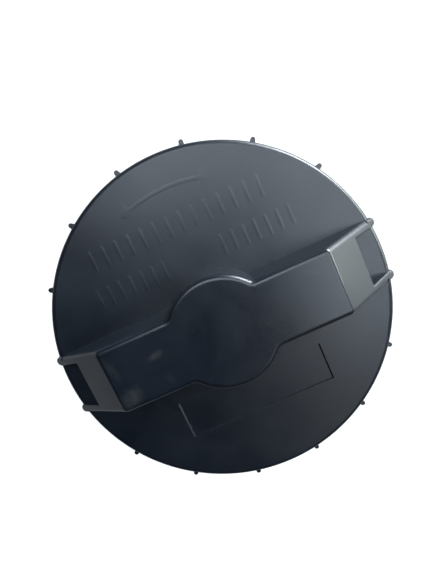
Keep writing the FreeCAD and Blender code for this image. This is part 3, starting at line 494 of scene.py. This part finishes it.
def springs():
    """Put a copy of each valve spring's mesh on its valve's body, in place of its node."""
    for name, node, body, joint, top_stays in SPRINGS:
        piece = bpy.data.objects.new(name, frame["nodes"][node].data.copy())
        bpy.context.scene.collection.objects.link(piece)
        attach(piece, body)
        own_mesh(piece)
        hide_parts(node)


# Floor, world, lamps and camera.


# The floor: half its side in metres, its colour, the glow that makes it white for the camera
# near the part and far away, the distances over which one passes into the other, and the glow
# for what mirrors it or lets it through.
FLOOR_HALF = 1.6
FLOOR_COLOUR = (0.42, 0.42, 0.42, 1)
FLOOR_GLOWS = (0.72, 1.0)
FLOOR_FADE = (0.10, 0.50)
MIRRORED_GLOW = 0.04


def build_stage():
    """A plain white floor that keeps the part's soft shadow."""
    half = FLOOR_HALF
    mesh = bpy.data.meshes.new("floor")
    mesh.from_pydata([(-half, -half, 0), (half, -half, 0), (half, half, 0), (-half, half, 0)],
                     [], [(0, 1, 2, 3)])
    floor = bpy.data.objects.new("floor", mesh)
    bpy.context.scene.collection.objects.link(floor)
    material = bpy.data.materials.new("floor_white")
    tree = empty_tree(material)
    path = put(tree, "LightPath").outputs
    mirrored = reckon(tree, "MAXIMUM", path["Is Glossy Ray"], path["Is Transmission Ray"])
    away = put(tree, "VectorMath", {0: object_place(tree)}, operation="LENGTH").outputs["Value"]
    seen = spread(tree, away, *FLOOR_FADE, *FLOOR_GLOWS)
    level = reckon(tree, "MULTIPLY_ADD", path["Is Camera Ray"], seen,
                   reckon(tree, "MULTIPLY", mirrored, MIRRORED_GLOW))
    paper = put(tree, "BsdfDiffuse", {"Color": FLOOR_COLOUR})
    glow = put(tree, "Emission", {"Color": WHITE, "Strength": level})
    both = put(tree, "AddShader", {0: paper.outputs[0], 1: glow.outputs[0]})
    put(tree, "OutputMaterial", {"Surface": both.outputs[0]})
    mesh.materials.append(material)


# The world's level for the object, low down and overhead, and the heights between which it
# changes, from 0 at the horizon to 1 at the top.
WORLD_LEVELS = (0.105, 0.011)
WORLD_HEIGHTS = (0.05, 0.30)


def build_world():
    """Pale towards the horizon and dark overhead for the object, plain white for the camera."""
    world = bpy.data.worlds.new("studio")
    bpy.context.scene.world = world
    tree = empty_tree(world)
    way = put(tree, "TexCoord").outputs["Generated"]
    height = put(tree, "SeparateXYZ", {"Vector": way}).outputs["Z"]
    level = spread(tree, height, *WORLD_HEIGHTS, *WORLD_LEVELS)
    seen = put(tree, "LightPath").outputs["Is Camera Ray"]
    level = reckon(tree, "MAXIMUM", level, seen)
    back = put(tree, "Background", {"Color": WHITE, "Strength": level})
    put(tree, "OutputWorld", {"Surface": back.outputs[0]})


SKY = (0.80, 0.90, 1.0)
WINDOW = (0.86, 0.94, 1.0)
PALE_WALL = (0.91, 1.0, 0.95)
LAMPLIGHT = (1.0, 0.92, 0.84)

# Lamps: name, azimuth and elevation in degrees, width and height in metres, watts, colour.
LAMPS = [
    ("wall_right", 0, 13, (0.30, 0.30), 2.7, PALE_WALL),
    ("window", 36, 13, (0.30, 0.30), 3.6, WINDOW),
    ("window_low", 32, 4, (0.40, 0.12), 5.3, WINDOW),
    ("skylight", -4, 62, (0.55, 0.30), 2.2, SKY),
    ("skylight_far", 90, 62, (0.36, 0.36), 1.8, SKY),
    ("room", -72, 52, (0.20, 0.20), 0.11, LAMPLIGHT),
]
LAMP_DISTANCE = 0.60
LAMP_TARGET = Vector((0, 0, 0.05))


def build_lights():
    """Flat lamps, all the same distance from the grip and facing it."""
    for name, azimuth, elevation, size, power, colour in LAMPS:
        lamp = bpy.data.lights.new(name, "AREA")
        lamp.shape = "RECTANGLE"
        lamp.size, lamp.size_y = size
        lamp.energy = power
        lamp.color = colour
        holder = bpy.data.objects.new(name, lamp)
        bpy.context.scene.collection.objects.link(holder)
        turn, rise = math.radians(azimuth), math.radians(elevation)
        way = Vector((math.cos(rise) * math.cos(turn), math.cos(rise) * math.sin(turn),
                      math.sin(rise)))
        holder.location = LAMP_TARGET + way * LAMP_DISTANCE
        holder.rotation_euler = (-way).to_track_quat("-Z", "Y").to_euler()


def build_camera():
    """The camera that took the photograph, without shift or depth of field."""
    camera = bpy.data.cameras.new("camera")
    camera.sensor_fit = "AUTO"
    camera.sensor_width = SENSOR_MM
    camera.lens = FOCAL_PIXELS * SENSOR_MM / IMAGE_HEIGHT
    camera.clip_start, camera.clip_end = CLIP_NEAR, CLIP_FAR
    holder = bpy.data.objects.new("camera", camera)
    bpy.context.scene.collection.objects.link(holder)
    turn = Matrix((CAMERA_RIGHT, -CAMERA_DOWN, -CAMERA_FORWARD)).transposed()
    holder.matrix_world = Matrix.Translation(CAMERA_PLACE) @ turn.to_4x4()
    bpy.context.scene.camera = holder


def build_materials():
    """One material for each of the record's slots."""
    return {
        "shell_plastic": shell_plastic(),
        "closure_plastic": plain_plastic("closure_plastic", dark=(0.014, 0.014, 0.016),
                                         light=(0.022, 0.022, 0.025), rough=0.42),
        "natural_nylon": plain_plastic("natural_nylon", dark=(0.66, 0.61, 0.50),
                                       light=(0.74, 0.70, 0.60), rough=0.42, grain=0.25,
                                       glow=0.25),
        "valve_plastic": plain_plastic("valve_plastic", dark=(0.045, 0.055, 0.075),
                                       light=(0.06, 0.07, 0.09), rough=0.4),
        "black_rubber": black_rubber(),
        "spring_steel": drawn_metal("spring_steel", dark=(0.42, 0.42, 0.43),
                                    light=(0.60, 0.60, 0.61), rough=0.26),
        "screen_brass": drawn_metal("screen_brass", dark=(0.52, 0.37, 0.15),
                                    light=(0.72, 0.54, 0.27), rough=0.34),
    }


def dress_nodes(materials):
    """Give each CAD node the material of its slot."""
    for row in frame["record"]["subparts"]:
        node = frame["nodes"][row["node"]]
        slots = node.data.materials
        slots.clear()
        slots.append(materials[row["material_slot"]])


materials = build_materials()
dress_nodes(materials)
disc_relief(materials["shell_plastic"])
springs()
build_stage()
build_world()
build_lights()
build_camera()
bpy.context.scene.view_settings.view_transform = "Standard"
